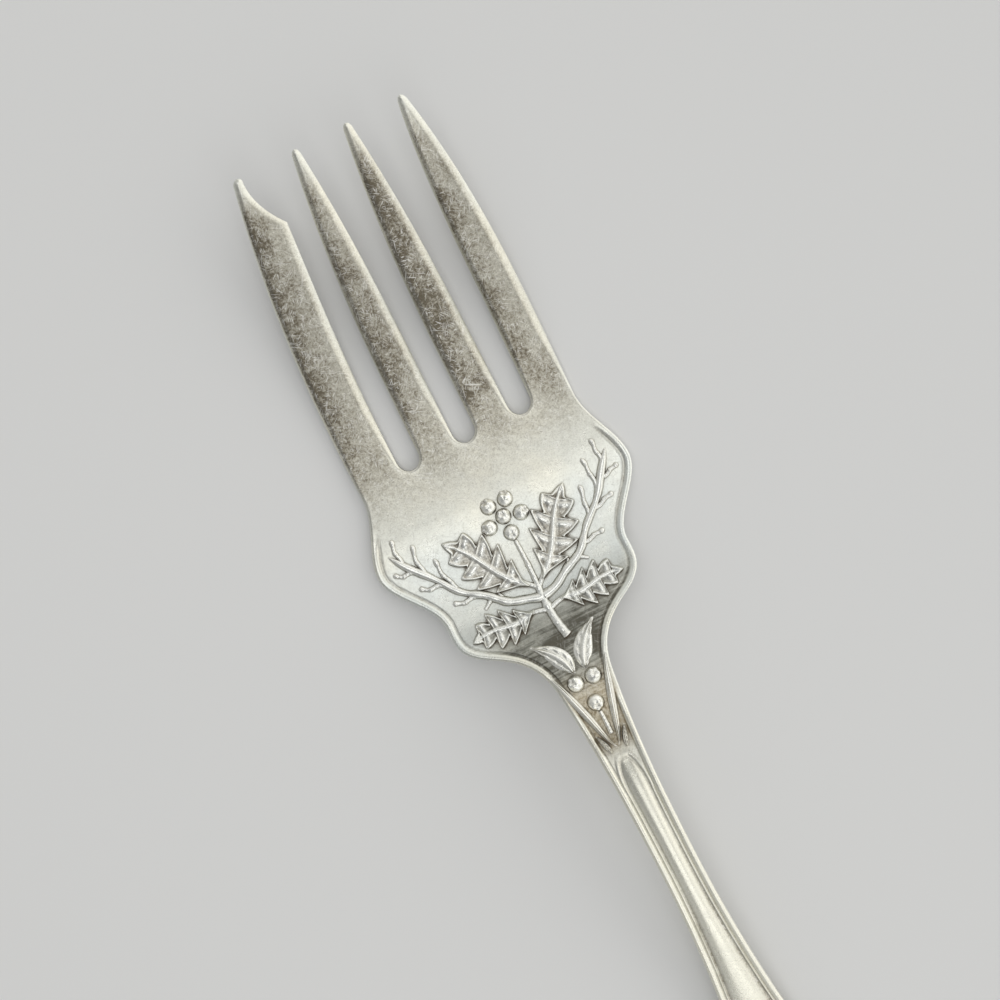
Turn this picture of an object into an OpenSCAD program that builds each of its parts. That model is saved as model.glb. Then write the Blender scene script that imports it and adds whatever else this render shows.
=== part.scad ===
// Cold meat fork, struck from one blank, lying face up with its tines towards +Y.
// Places along the fork are measured from the slot roots: positive towards the tips,
// negative towards the handle.

/* [Overall] */
// Length from the handle's end to the tine tips
overall_l = 222; // [212:1:232]
// Length of the tines, from the slot roots to the tips
tine_l = 60; // [54:1:66]

/* [Side profile] */
// Height of the underside at the neck's crest
crest_h = 11; // [8:0.5:14]
// Distance from the slot roots to the crest
crest_at = 61; // [58:1:68]
// Distance from the slot roots to the near end of the heel's flat
heel_at = 2; // [1:0.5:4]
// Length of the flat under the heel
heel_l = 8; // [5:0.5:10]
// Height of the underside at the tine tips
tip_h = 12; // [6:0.5:16]
// Slope of the tines at the tips
tip_slope = 0.42; // [0.3:0.02:0.5]
// Distance from the handle's end to its flat
rest_at = 9; // [7:0.5:11]
// Length of the flat under the handle's end
rest_l = 6; // [4:0.5:8]
// Height of the underside at the handle's end
end_lift = 1.2; // [0.5:0.1:2]

/* [Thickness] */
// Thickness at the tine tips
tip_t = 1.3; // [1:0.1:1.8]
// Thickness of the palm and the tine roots
palm_t = 2.1; // [1.6:0.1:2.8]
// Thickness of the neck
neck_t = 3.4; // [2.6:0.1:4]
// Thickness of the handle's end
end_t = 1.9; // [1.5:0.1:2.6]

/* [Outline] */
// Width over the outer tines at the slot roots
root_w = 44; // [43:0.2:46]
// Width over the upper shoulder lobes
palm_w = 52.2; // [49.2:0.5:56.2]
// Distance from the slot roots to the upper lobes
lobe_at = 15.3; // [13.8:0.5:16.8]
// Width at the waist and over the lower lobes
waist_w = 37.2; // [35.2:0.5:40.2]
// Distance from the slot roots to the waist
waist_at = 28.8; // [27.3:0.5:29.8]
// Width of the throat, where the palm runs into the neck
throat_w = 18.6; // [17.4:0.2:20]
// Distance from the slot roots to the throat
throat_at = 40.3; // [39.3:0.5:42.3]
// Width of the neck
neck_w = 10.2; // [9:0.2:12]
// Distance from the slot roots to the neck
neck_at = 50.5; // [48:0.5:53]
// Least width of the handle
shank_w = 7.3; // [6.6:0.1:9]
// Distance from the slot roots to the narrowest place
shank_at = 84; // [80:1:90]
// Greatest width of the handle's end
end_w = 21; // [18:0.5:24]
// Length of the rounded end
end_round_l = 14; // [11:0.5:16]

/* [Tines] */
// Width of each middle tine at its root
middle_tine_w = 7.1; // [6.3:0.1:7.4]
// Width of the outer tine at its root
outer_tine_w = 7.6; // [7:0.1:8]
// Width of the cutting tine at its root
cutting_tine_w = 8.8; // [8.2:0.1:9.2]
// Width of the cutting tine's blade, taken to the tip
cutting_blade_w = 6.2; // [5.6:0.1:6.8]
// Lean of the cutting tine's tip to the right
cutting_lean = 5.1; // [4:0.1:5.5]
// Lean of the second tine's tip to the right
second_lean = 2; // [1:0.1:2.5]
// Lean of the third tine's tip to the right
third_lean = 0.7; // [0:0.1:1.2]
// Lean of the outer tine's tip to the left
outer_lean = 0.3; // [0:0.1:1]
// Bow of the cutting tine to the left, half way along
cutting_bow = 0.4; // [0:0.05:0.8]
// Bow of the outer tine to the right, half way along
outer_bow = 0.6; // [0:0.05:0.8]
// Width of the tine tips
tip_w = 1.4; // [1:0.1:1.8]
// Width of the cutting tine's tip
cutting_tip_w = 1.9; // [1.5:0.1:2.3]
// Distance from the tips to the cutting tine's notch
notch_l = 10; // [8:0.5:12]
// Depth of the slot roots' rounding
slot_round = 2.6; // [2:0.1:3]

/* [Relief] */
// Width of the palm's raised rim
rim_w = 1.1; // [0.8:0.1:1.6]
// Height of the rim, borders and threads
thread_h = 0.35; // [0.2:0.05:0.6]
// Width of the handle's border threads
border_w = 1.25; // [0.9:0.05:1.5]
// Width of the handle's inner threads
inner_w = 0.35; // [0.25:0.05:0.5]
// Gap between a border and its inner thread
thread_gap = 0.15; // [0.1:0.05:0.3]
// Channel between the inner threads and the centre reed
channel_w = 0.45; // [0.3:0.05:0.6]
// Height of the centre reed
reed_h = 0.5; // [0.3:0.05:0.8]
// Height of the leaves
leaf_h = 0.5; // [0.3:0.05:0.7]
// Height of the leaves' midribs and of the twigs
rib_h = 0.8; // [0.6:0.05:1]
// Distance from the slot roots to the foot of the palm's spray
spray_foot = 39.4; // [38:0.2:41]
// Height of the spray, from its foot to the twigs' tips
spray_h = 27; // [25:0.2:28.4]
// Distance from the middle to the twigs' tips
spray_reach = 22.6; // [20:0.2:23.2]
// Width of the twigs where they spring
twig_w = 1.8; // [1.3:0.05:1.9]
// Width of the spray's stalk at its foot
stalk_w = 2; // [1.5:0.05:2.2]
// Length of the upper leaves
upper_leaf_l = 18; // [16:0.2:18.4]
// Length of the lower leaves
lower_leaf_l = 12.9; // [11.1:0.1:13.1]
// Greatest half-width of an upper leaf
upper_half_w = 5.1; // [4.3:0.1:5.2]
// Greatest half-width of a lower leaf
lower_half_w = 3.9; // [3.3:0.1:4]
// Ball radius of the palm's berries
berry_r = 1.75; // [1.4:0.05:1.85]
// Ball radius of the neck's berries
neck_berry_r = 1.8; // [1.4:0.05:1.85]
// Greatest width of the neck's side leaves
neck_leaf_w = 1.7; // [1.2:0.1:1.8]
// Greatest half-width of the bracts above the neck's berries
bract_half_w = 1.7; // [1.2:0.05:1.8]

/* [Hidden] */
$fn = 48;

grid = 2;
handle_l = overall_l - tine_l;
root_y = overall_l / 2 - tine_l;

tine_from = 6;
palm_from = -44;
neck_from = -64;
shank_from = neck_from - (handle_l + neck_from) * 0.53;

rim_top = -8;
rim_end = -43;
border_top = -57;
arch_at = -70;
arch_l = 7;
end_c = -(handle_l - end_round_l);
inner_d = border_w + thread_gap;
channel_d = inner_d + inner_w;
reed_d = channel_d + channel_w;

flare_at = throat_at - 3;
lobe_flat = 1.5;
slot_w = (root_w - cutting_tine_w - 2 * middle_tine_w - outer_tine_w) / 3;
notch_at = tine_l - notch_l;
tine_sweep = 1.9;
tip_round = tip_w / 2;
cutting_round = cutting_tip_w / 2;
notch_curve = 1.35;

silver = [0.78, 0.77, 0.73];
bright = [0.86, 0.85, 0.80];

under_rows = [
    [-handle_l, end_lift, -2 * end_lift / rest_at],
    [-handle_l + rest_at, 0, 0],
    [-handle_l + rest_at + rest_l, 0, 0],
    [-crest_at, crest_h, 0],
    [-heel_at - heel_l, 0, 0],
    [-heel_at, 0, 0],
    [tine_l, tip_h, tip_slope]
];

thick_rows = [
    [-handle_l, end_t, 0],
    [-handle_l + rest_at + rest_l, end_t, 0],
    [-crest_at, neck_t, 0],
    [-neck_at, neck_t, 0],
    [-waist_at, palm_t, 0],
    [tine_l / 3, palm_t, 0],
    [tine_l, tip_t, 0]
];

half_rows = [
    [end_c, end_w / 2, 0],
    [(end_c - shank_at) / 2, shank_w / 2 + (end_w - shank_w) * 0.12, -0.105],
    [-shank_at, shank_w / 2, 0],
    [-neck_at, neck_w / 2, 0.12],
    [-throat_at, throat_w / 2, 1.1],
    [-flare_at, (waist_w + throat_w) / 4, 1.9],
    [-waist_at - lobe_flat, waist_w / 2, 0],
    [-waist_at, waist_w / 2, 0],
    [-lobe_at, palm_w / 2, 0],
    [-1, root_w / 2, 0],
    [tine_from, root_w / 2, 0]
];

// Each tine: centre at the root, lean at the tip, half-width at the root and at the tip, taper, bow
middle_r = middle_tine_w / 2;
second_x = cutting_tine_w + slot_w + middle_r - root_w / 2;
cutting_r = cutting_tine_w / 2;
cutting = [cutting_r - root_w / 2, cutting_lean, cutting_r, cutting_blade_w / 2, 4, -cutting_bow];
second = [second_x, second_lean, middle_r, tip_round, 3.2, 0];
third = [second_x + middle_tine_w + slot_w, third_lean, middle_r, tip_round, 3.2, 0];
outer = [(root_w - outer_tine_w) / 2, -outer_lean, outer_tine_w / 2, tip_round, 4, outer_bow];

// A smooth curve through rows of place, value and slope
function span(p, q, s) =
    let (h = q[0] - p[0], t = (s - p[0]) / h)
    (2 * t ^ 3 - 3 * t ^ 2 + 1) * p[1] + (t ^ 3 - 2 * t ^ 2 + t) * h * p[2]
    + (3 * t ^ 2 - 2 * t ^ 3) * q[1] + (t ^ 3 - t ^ 2) * h * q[2];
function along(rows, s, i = 0) =
    i == len(rows) - 2 || s <= rows[i + 1][0] ? span(rows[i], rows[i + 1], s) : along(rows, s, i + 1);
function under(s) = along(under_rows, s);
function top(s) = under(s) + along(thick_rows, s);
function half(s) = along(half_rows, s);

// Places on the common grid from a to b, both ends included
function places(a, b) = concat([a], [for (k = [floor(a / grid) + 1 : ceil(b / grid) - 1]) k * grid], [b]);
function backwards(list) = [for (i = [len(list) - 1 : -1 : 0]) list[i]];
function mirrored(list) = [for (p = list) [-p[0], p[1]]];

// A point on the right outline, set in by d along the outline's normal
function inset(s, d) =
    let (w = (half(s + 0.01) - half(s - 0.01)) / 0.02, q = sqrt(1 + w * w))
    [half(s) - d / q, s + d * w / q];

// The right outline of the handle, set in by d, from s down to the middle of the rounded end
function handle_side(s, d) = concat(
    [for (p = backwards(places(end_c, s))) [half(p) - d, p]],
    [for (a = [10 : 10 : 90]) [(end_w / 2 - d) * cos(a), end_c - (end_round_l - d) * sin(a)]]
);
function arch_side(d) = concat(
    [for (a = [90 : -10 : 10])
        let (s = arch_at + (arch_l + reed_d - d) * sin(a))
        [(half(s) - d) * cos(a), s]],
    handle_side(arch_at, d)
);

// Edges of a tine; side is -1 for its left edge and 1 for its right edge
function tine_edge(tine, s, side) =
    let (u = max(0, s / tine_l))
    tine[0] + tine[1] * u ^ tine_sweep + tine[5] * sin(180 * u)
    + side * (tine[3] + (tine[2] - tine[3]) * (1 - u ^ tine[4]));

// A strip of varying half-width along a bent line from p through the pull of c to q
function bend(p, c, q, t) = (1 - t) ^ 2 * p + 2 * t * (1 - t) * c + t ^ 2 * q;
function bend_way(p, c, q, t) = let (d = (1 - t) * (c - p) + t * (q - c)) d / norm(d);
function strip(p, c, q, w0, w1, n) = concat(
    [for (i = [0 : n]) let (t = i / n, d = bend_way(p, c, q, t))
        bend(p, c, q, t) + (w0 + (w1 - w0) * t) * [d[1], -d[0]]],
    [for (i = [n : -1 : 0]) let (t = i / n, d = bend_way(p, c, q, t))
        bend(p, c, q, t) - (w0 + (w1 - w0) * t) * [d[1], -d[0]]]
);

// A pointed leaf of greatest half-width w along a bent line from p through the pull of c to q
function blade_half(w, t) = 0.1 + (w - 0.1) * sin(180 * t ^ 0.8);
function blade(p, c, q, w) = concat(
    [for (i = [0 : 10]) let (t = i / 10, d = bend_way(p, c, q, t))
        bend(p, c, q, t) + blade_half(w, t) * [d[1], -d[0]]],
    [for (i = [10 : -1 : 0]) let (t = i / 10, d = bend_way(p, c, q, t))
        bend(p, c, q, t) - blade_half(w, t) * [d[1], -d[0]]]
);

// Right edge of a lobed leaf of unit length and unit half-width that points along +Y
leaf_lobes = 4;
lobe_from = 0.08;
lobe_step = 0.19;
leaf_edge = concat(
    [[0.06, 0]],
    [for (i = [0 : leaf_lobes - 1], f = [0, 0.35, 0.7, 1])
        let (u = lobe_from + lobe_step * (i + 0.8 * f))
        [sin(180 * u) ^ 0.8 * (0.42 + 0.58 * f ^ 0.8), u + 0.05 * f]],
    [[0.26, 0.85], [0.22, 0.92]]
);
function leaf(l, w) = concat(
    [for (p = leaf_edge) [p[0] * w, p[1] * l]],
    [[0, l]],
    [for (p = backwards(leaf_edge)) [-p[0] * w, p[1] * l]]
);

// The blank's own thickness between two places, wide enough to be cut by any outline
module blank(a, b) {
    translate([-palm_w, 0, 0])
        rotate([90, 0, 90])
            linear_extrude(2 * palm_w)
                polygon(concat(
                    [for (s = places(a, b)) [s, under(s)]],
                    [for (s = backwards(places(a, b))) [s, top(s)]]
                ));
}

// A layer of height h that lies on the blank's face between two places
module layer(a, b, h) {
    translate([-palm_w, 0, 0])
        rotate([90, 0, 90])
            linear_extrude(2 * palm_w)
                polygon(concat(
                    [for (s = places(a, b)) [s, top(s)]],
                    [for (s = backwards(places(a, b))) [s, top(s) + h]]
                ));
}

// Cuts a flat outline out of the blank between two places
module struck(a, b) {
    translate([0, root_y, 0])
        intersection() {
            blank(a, b);
            translate([0, 0, -1])
                linear_extrude(40)
                    children();
        }
}

// Raises a flat outline by h on the blank's face between two places
module raised(a, b, h) {
    translate([0, root_y, 0])
        intersection() {
            layer(a, b, h);
            translate([0, 0, -1])
                linear_extrude(40)
                    children();
        }
}

module tine(shape) {
    ss = places(tine_from, tine_l - tip_round);
    struck(tine_from, tine_l)
        polygon(concat(
            [for (s = ss) [tine_edge(shape, s, 1), s]],
            [for (a = [30 : 30 : 150])
                [shape[0] + shape[1] + tip_round * cos(a), tine_l - tip_round + tip_round * sin(a)]],
            [for (s = backwards(ss)) [tine_edge(shape, s, -1), s]]
        ));
}

module cutting_tine() {
    outside = places(tine_from, tine_l - cutting_round);
    inside = places(tine_from, notch_at);
    tip_x = tine_edge(cutting, tine_l, -1);
    corner_x = tine_edge(cutting, notch_at, 1);
    color(silver)
        struck(tine_from, tine_l)
            polygon(concat(
                [for (s = inside) [tine_edge(cutting, s, 1), s]],
                [for (v = [0.15 : 0.15 : 0.9])
                    [tip_x + cutting_tip_w + (corner_x - tip_x - cutting_tip_w) * (1 - v) ^ notch_curve,
                     notch_at + (notch_l - cutting_round) * v]],
                [for (a = [0 : 30 : 150])
                    [tip_x + cutting_round * (1 + cos(a)), tine_l - cutting_round * (1 - sin(a))]],
                [for (s = backwards(outside)) [tine_edge(cutting, s, -1), s]]
            ));
}

module second_tine() {
    color(silver) tine(second);
}

module third_tine() {
    color(silver) tine(third);
}

module outer_tine() {
    color(silver) tine(outer);
}

// The open end of a slot between two tines, with its rounded root at s = 0
module slot(left, right) {
    ss = places(slot_round, tine_from + grid);
    x0 = tine_edge(left, slot_round, 1);
    x1 = tine_edge(right, slot_round, -1);
    polygon(concat(
        [for (s = backwards(ss)) [tine_edge(left, s, 1), s]],
        [for (a = [15 : 15 : 165])
            [(x0 + x1) / 2 - (x1 - x0) / 2 * cos(a), slot_round * (1 - sin(a))]],
        [for (s = ss) [tine_edge(right, s, -1), s]]
    ));
}

module palm() {
    body = places(palm_from, 0);
    stubs = places(grid, tine_from);
    color(silver)
        struck(palm_from, tine_from)
            difference() {
                polygon(concat(
                    [for (s = body) [half(s), s]],
                    [for (s = stubs) [tine_edge(outer, s, 1), s]],
                    [for (s = backwards(stubs)) [tine_edge(cutting, s, -1), s]],
                    [for (s = backwards(body)) [-half(s), s]]
                ));
                slot(cutting, second);
                slot(second, third);
                slot(third, outer);
            }
}

module neck() {
    ss = places(neck_from, palm_from);
    color(silver)
        struck(neck_from, palm_from)
            polygon(concat([for (s = ss) [half(s), s]], [for (s = backwards(ss)) [-half(s), s]]));
}

module shank() {
    ss = places(shank_from, neck_from);
    color(silver)
        struck(shank_from, neck_from)
            polygon(concat([for (s = ss) [half(s), s]], [for (s = backwards(ss)) [-half(s), s]]));
}

module handle_end() {
    side = handle_side(shank_from, 0);
    color(silver)
        struck(-handle_l, shank_from)
            polygon(concat(side, backwards(mirrored(side))));
}

// The rim follows the scalloped shoulder and thins out at both ends
module rim() {
    ss = places(rim_end, rim_top);
    raised(rim_end - 2, rim_top + 2, thread_h)
        polygon(concat(
            [for (s = ss) inset(s, 0)],
            [for (s = backwards(ss)) inset(s, rim_w * min(1, 0.3 + 0.2 * min(s - rim_end, rim_top - s)))]
        ));
}

module right_rim() {
    color(bright) rim();
}

module left_rim() {
    color(bright) mirror([1, 0, 0]) rim();
}

module border() {
    raised(-handle_l, border_top, thread_h)
        polygon(concat(handle_side(border_top, 0), backwards(handle_side(border_top, border_w))));
}

module right_border() {
    color(bright) border();
}

module left_border() {
    color(bright) mirror([1, 0, 0]) border();
}

module inner_thread() {
    raised(-handle_l, border_top, thread_h * 0.6)
        polygon(concat(arch_side(inner_d), backwards(arch_side(channel_d))));
}

module right_inner_thread() {
    color(bright) inner_thread();
}

module left_inner_thread() {
    color(bright) mirror([1, 0, 0]) inner_thread();
}

module centre_reed() {
    color(bright)
        raised(-handle_l, border_top, reed_h)
            polygon(concat(arch_side(reed_d), backwards(mirrored(arch_side(reed_d)))));
}

// A place on the palm's spray: u is a share of its reach to the right, v of its height above the foot
function spray(u, v) = [u * spray_reach, v * spray_h - spray_foot];

// A lobed leaf with a higher midrib; at is its base, turn its lean from +Y
rib_half_w = 0.5;
rib_tip_half_w = 0.22;

module lobed_leaf(at, turn, l, w) {
    a = at[1] - l;
    b = at[1] + l;
    raised(a, b, leaf_h)
        translate(at) rotate(turn)
            difference() {
                polygon(leaf(l, w));
                polygon(strip([0, -1], [0, l / 2], [0, l * 0.9], rib_half_w, rib_tip_half_w, 4));
            }
    raised(a, b, rib_h)
        translate(at) rotate(turn)
            polygon(strip([0, 0], [0, l / 2], [0, l * 0.9], rib_half_w, rib_tip_half_w, 4));
}

module upper_leaf() {
    lobed_leaf(spray(0.062, 0.4), -39, upper_leaf_l, upper_half_w);
}

module lower_leaf() {
    lobed_leaf(spray(0.115, 0.236), -92, lower_leaf_l, lower_half_w);
}

module upper_right_leaf() {
    color(bright) upper_leaf();
}

module upper_left_leaf() {
    color(bright) mirror([1, 0, 0]) upper_leaf();
}

module lower_right_leaf() {
    color(bright) lower_leaf();
}

module lower_left_leaf() {
    color(bright) mirror([1, 0, 0]) lower_leaf();
}

// A twig that reaches into the upper shoulder lobe, and its shoots: share of the twig's length, pull, tip
twig_from = spray(0.08, 0.309);
twig_pull = spray(0.49, 0.374);
twig_to = spray(1, 1);
shoots = [
    [0.47, spray(0.588, 0.489), spray(0.69, 0.515)],
    [0.6, spray(0.664, 0.711), spray(0.668, 0.852)],
    [0.69, spray(0.805, 0.671), spray(0.889, 0.711)],
    [0.78, spray(0.819, 0.874), spray(0.779, 1.007)],
    [0.86, spray(0.956, 0.83), spray(1.031, 0.87)],
    [0.92, spray(0.938, 0.993), spray(0.916, 1.1)]
];

module twig() {
    raised(-spray_foot, rim_top, rib_h)
        union() {
            polygon(strip(twig_from, twig_pull, twig_to, twig_w / 2, twig_w * 0.26, 12));
            for (shoot = shoots)
                polygon(strip(
                    bend(twig_from, twig_pull, twig_to, shoot[0]), shoot[1], shoot[2],
                    twig_w * 0.27, twig_w * 0.2, 5
                ));
        }
}

module right_twig() {
    color(bright) twig();
}

module left_twig() {
    color(bright) mirror([1, 0, 0]) twig();
}

// The stalk that the leaves and twigs spring from, and the thinner stem of the berries above it
module spray_stem() {
    color(bright)
        raised(-spray_foot - 2 * stalk_w, rim_top, rib_h)
            union() {
                polygon(strip(
                    spray(0.04, 0), spray(-0.02, 0.165), spray(0, 0.388),
                    stalk_w / 2, stalk_w / 3, 8
                ));
                polygon(strip(
                    spray(0, 0.378), spray(0.01, 0.534), spray(0, 0.694),
                    stalk_w * 0.3, stalk_w * 0.22, 6
                ));
            }
}

// Everything under the blank's face between two places
module underground(a, b) {
    layer_d = b - a;
    translate([-palm_w, 0, 0])
        rotate([90, 0, 90])
            linear_extrude(2 * palm_w)
                polygon(concat(
                    [for (s = places(a, b)) [s, top(s) - layer_d]],
                    [for (s = backwards(places(a, b))) [s, top(s)]]
                ));
}

// Round berries of radius r that stand on the blank's face, each sunk by a share of its radius
berry_sunk = 0.42;

module berries(centres, r) {
    translate([0, root_y, 0])
        for (c = centres)
            difference() {
                translate([c[0], c[1], top(c[1]) - berry_sunk * r]) sphere(r);
                underground(c[1] - 2 * r, c[1] + 2 * r);
            }
}

module palm_berries() {
    foot = spray(0, 0.767);
    color(bright)
        berries(concat(
            [foot, foot + berry_r * [0, 1.9]],
            [for (side = [-1, 1], p = [[1.85, 1.45], [0.98, 3.5]]) foot + berry_r * [side * p[0], p[1]]]
        ), berry_r);
}

module neck_berries() {
    middle = [0, -neck_at - 0.9 * neck_berry_r];
    color(bright)
        berries(concat(
            [middle],
            [for (side = [-1, 1]) middle + neck_berry_r * [0.97 * side, 2.4]]
        ), neck_berry_r);
}

// A slender leaf from the neck's middle that follows its edge up to the palm, and a leaflet below it
neck_leaf_from = -60.5;
neck_leaf_l = 17;
neck_margin = 0.3;
leaflet_from = [1.45, -61.5];
leaflet_pull = [1.9, -59.4];
leaflet_to = [2.75, -57.5];
leaflet_half_w = 0.55;
function neck_leaf_s(t) = neck_leaf_from + neck_leaf_l * t;
function neck_leaf_out(t) = 0.3 + (half(neck_leaf_s(t)) - neck_margin - 0.3) * sin(90 * t ^ 0.7);
function neck_leaf_in(t) = neck_leaf_out(t) - 0.2 - (neck_leaf_w - 0.2) * sin(180 * t ^ 0.9);

module neck_leaf() {
    steps = [for (i = [0 : 12]) i / 12];
    raised(neck_leaf_from - 3.5, neck_leaf_from + neck_leaf_l, leaf_h)
        union() {
            polygon(concat(
                [for (t = steps) [neck_leaf_out(t), neck_leaf_s(t)]],
                [for (t = backwards(steps)) [neck_leaf_in(t), neck_leaf_s(t)]]
            ));
            polygon(blade(leaflet_from, leaflet_pull, leaflet_to, leaflet_half_w));
        }
}

module neck_right_leaf() {
    color(bright) neck_leaf();
}

module neck_left_leaf() {
    color(bright) mirror([1, 0, 0]) neck_leaf();
}

// A short pointed leaf above the neck's berries that bends outwards
bract_from = [1.2, -46];
bract_pull = [1.5, -41.8];
bract_to = [6.4, -38.6];

module bract() {
    raised(bract_from[1] - 2, bract_to[1] + 2, leaf_h)
        polygon(blade(bract_from, bract_pull, bract_to, bract_half_w));
}

module neck_right_bract() {
    color(bright) bract();
}

module neck_left_bract() {
    color(bright) mirror([1, 0, 0]) bract();
}

// The stem that carries the neck's berries
module neck_stem() {
    color(bright)
        raised(-neck_at - 9, -neck_at, leaf_h)
            polygon(strip([0, -58], [0.1, -56], [0, -neck_at - 2.1 * neck_berry_r], 0.4, 0.3, 4));
}

cutting_tine();
second_tine();
third_tine();
outer_tine();
palm();
neck();
shank();
handle_end();
left_rim();
right_rim();
left_border();
right_border();
left_inner_thread();
right_inner_thread();
centre_reed();
upper_left_leaf();
upper_right_leaf();
lower_left_leaf();
lower_right_leaf();
left_twig();
right_twig();
spray_stem();
palm_berries();
neck_left_leaf();
neck_right_leaf();
neck_left_bract();
neck_right_bract();
neck_stem();
neck_berries();
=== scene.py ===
import math

import bmesh
import bpy
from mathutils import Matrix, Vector
from mathutils.kdtree import KDTree


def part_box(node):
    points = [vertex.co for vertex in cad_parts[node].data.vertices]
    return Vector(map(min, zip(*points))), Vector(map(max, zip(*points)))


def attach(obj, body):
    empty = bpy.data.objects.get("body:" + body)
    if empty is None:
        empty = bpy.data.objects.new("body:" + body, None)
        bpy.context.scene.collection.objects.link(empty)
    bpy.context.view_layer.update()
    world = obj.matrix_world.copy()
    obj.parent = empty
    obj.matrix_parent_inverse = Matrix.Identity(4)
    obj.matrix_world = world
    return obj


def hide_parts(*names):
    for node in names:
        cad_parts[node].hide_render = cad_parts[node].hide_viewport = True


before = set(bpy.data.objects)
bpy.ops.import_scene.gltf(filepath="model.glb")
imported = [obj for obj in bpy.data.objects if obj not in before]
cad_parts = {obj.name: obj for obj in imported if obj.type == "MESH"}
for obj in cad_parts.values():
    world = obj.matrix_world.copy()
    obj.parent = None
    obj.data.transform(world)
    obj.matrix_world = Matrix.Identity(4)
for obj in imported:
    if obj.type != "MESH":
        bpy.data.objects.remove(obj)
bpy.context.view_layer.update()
scene = bpy.context.scene
scene.view_settings.view_transform = "Standard"

# The blank: one sheet of nickel silver, struck in a die, silver plated and worn. Tines, palm, neck and handle
# are one piece of metal, so one seamless mesh stands for them, with the rim, threads and reed that the die
# raised along its edges. It lies on its heel and near the end of its handle.
MM = 0.001
tine_from = 6.0
root_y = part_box("palm")[1][1] / MM - tine_from
tine_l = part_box("second_tine")[1][1] / MM - root_y
handle_l = root_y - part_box("handle_end")[0][1] / MM

crest_h, crest_at = 11.0, 61.0
heel_at, heel_l = 2.0, 8.0
tip_h, tip_slope = 12.0, 0.42
rest_at, rest_l, end_lift = 9.0, 6.0, 1.2
tip_t, palm_t, neck_t, end_t = 1.3, 2.1, 3.4, 1.9
root_w, palm_w, waist_w, throat_w = 44.0, 52.2, 37.2, 18.6
neck_w, shank_w, end_w = 10.2, 7.3, 21.0
root_at, lobe_at, waist_at, lobe_flat = 1.0, 15.3, 28.8, 1.5
flare_at, throat_at, neck_at, shank_at = 37.3, 40.3, 50.5, 84.0
flare_slope, throat_slope, neck_slope = 1.9, 1.1, 0.12
swell, swell_slope = 0.12, -0.105
end_round_l = 14.0
end_c = end_round_l - handle_l

under_rows = (
    (-handle_l, end_lift, -2 * end_lift / rest_at),
    (rest_at - handle_l, 0.0, 0.0),
    (rest_at + rest_l - handle_l, 0.0, 0.0),
    (-crest_at, crest_h, 0.0),
    (-heel_at - heel_l, 0.0, 0.0),
    (-heel_at, 0.0, 0.0),
    (tine_l, tip_h, tip_slope),
)
thick_rows = (
    (-handle_l, end_t, 0.0),
    (rest_at + rest_l - handle_l, end_t, 0.0),
    (-crest_at, neck_t, 0.0),
    (-neck_at, neck_t, 0.0),
    (-waist_at, palm_t, 0.0),
    (tine_l / 3, palm_t, 0.0),
    (tine_l, tip_t, 0.0),
)
half_rows = (
    (end_c, end_w / 2, 0.0),
    ((end_c - shank_at) / 2, shank_w / 2 + (end_w - shank_w) * swell, swell_slope),
    (-shank_at, shank_w / 2, 0.0),
    (-neck_at, neck_w / 2, neck_slope),
    (-throat_at, throat_w / 2, throat_slope),
    (-flare_at, (waist_w + throat_w) / 4, flare_slope),
    (-waist_at - lobe_flat, waist_w / 2, 0.0),
    (-waist_at, waist_w / 2, 0.0),
    (-lobe_at, palm_w / 2, 0.0),
    (-root_at, root_w / 2, 0.0),
    (tine_from, root_w / 2, 0.0),
)


def along(rows, s):
    """A smooth curve through rows of place, value and slope, read at the place s."""
    i = 0
    while i < len(rows) - 2 and s > rows[i + 1][0]:
        i += 1
    (p, a, m), (q, b, n) = rows[i], rows[i + 1]
    h = q - p
    t = (s - p) / h
    return (
        (2 * t**3 - 3 * t**2 + 1) * a
        + (t**3 - 2 * t**2 + t) * h * m
        + (3 * t**2 - 2 * t**3) * b
        + (t**3 - t**2) * h * n
    )


def under(s):
    """Height of the blank's underside, s mm from the slot roots towards the tips."""
    return along(under_rows, s)


def face(s):
    """Height of the blank's face."""
    return under(s) + along(thick_rows, s)


def half(s):
    """Half the width of palm and handle."""
    if s < end_c:
        return end_w / 2 * math.sqrt(max(0.0, 1 - ((end_c - s) / end_round_l) ** 2))
    return along(half_rows, s)


def ramp(a, b, s):
    """Rises smoothly from 0 at a to 1 at b."""
    t = min(1.0, max(0.0, (s - a) / (b - a)))
    return t * t * (3 - 2 * t)


def bump(q):
    """A round bump of height 1 that ends at q = -1 and q = 1."""
    return max(0.0, 1 - q * q) ** 1.5


# Each tine: centre and half-width at its root, lean and half-width at its tip, taper, bow, tip's rounding
tip_round, cutting_round = 0.7, 0.95
cutting_w, middle_w, outer_w, blade_w = 8.8, 7.1, 7.6, 6.2
slot_w = (root_w - cutting_w - 2 * middle_w - outer_w) / 3
second_x = cutting_w + slot_w + (middle_w - root_w) / 2
third_x = second_x + middle_w + slot_w
tines = (
    ((cutting_w - root_w) / 2, cutting_w / 2, 5.1, blade_w / 2, 4.0, -0.4, cutting_round),
    (second_x, middle_w / 2, 2.0, tip_round, 3.2, 0.0, tip_round),
    (third_x, middle_w / 2, 0.7, tip_round, 3.2, 0.0, tip_round),
    ((root_w - outer_w) / 2, outer_w / 2, -0.3, tip_round, 4.0, 0.6, tip_round),
)
tine_sweep = 1.9
tine_tarnish = (1.0, 1.0, 1.22, 0.93)
notch_l, notch_curve = 10.0, 1.35
notch_at, tip_c = tine_l - notch_l, tine_l - cutting_round
slot_round, slot_reach, slot_bow = 2.6, 10.0, 1.5
edge_slack, least_w = 0.01, 0.1


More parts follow.
